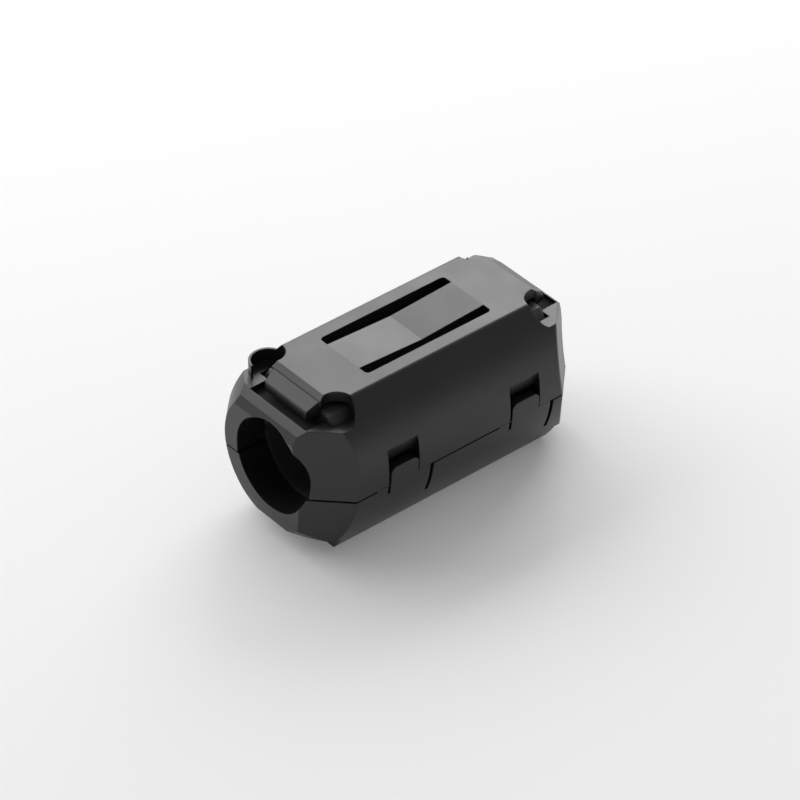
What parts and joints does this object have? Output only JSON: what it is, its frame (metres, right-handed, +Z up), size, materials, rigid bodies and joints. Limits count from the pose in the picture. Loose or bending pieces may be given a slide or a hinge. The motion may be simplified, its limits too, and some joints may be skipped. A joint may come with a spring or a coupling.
{
  "type": "clip on ferrite bead",
  "caption": "Clip-on cable ferrite: a hinged black nylon case with snap latches that closes a split ferrite core round a cable.",
  "frame": {"origin": "middle of the footprint of the closed clip, on the surface that it rests on", "axes": "+Z up, X along the cable bore, -Y towards the latches and +Y towards the hinge"},
  "size_m": [0.035, 0.0174, 0.018],
  "materials": {
    "case_nylon": "satin moulded",
    "core_ferrite": "sintered, ground mating faces"
  },
  "bodies": {
    "lower_half": {"lower_case": "case_nylon", "lower_core": "core_ferrite", "hinge_film": "case_nylon"},
    "upper_half": {"upper_case": "case_nylon", "upper_core": "core_ferrite"}
  },
  "joints": [
    {"name": "case_hinge", "type": "hinge", "parent": "lower_half", "child": "upper_half", "pos_m": [0, 0.00855, 0.00755], "axis": [-1, 0, 0], "range_deg": [0, 180], "deforming": ["hinge_film"]}
  ]
}
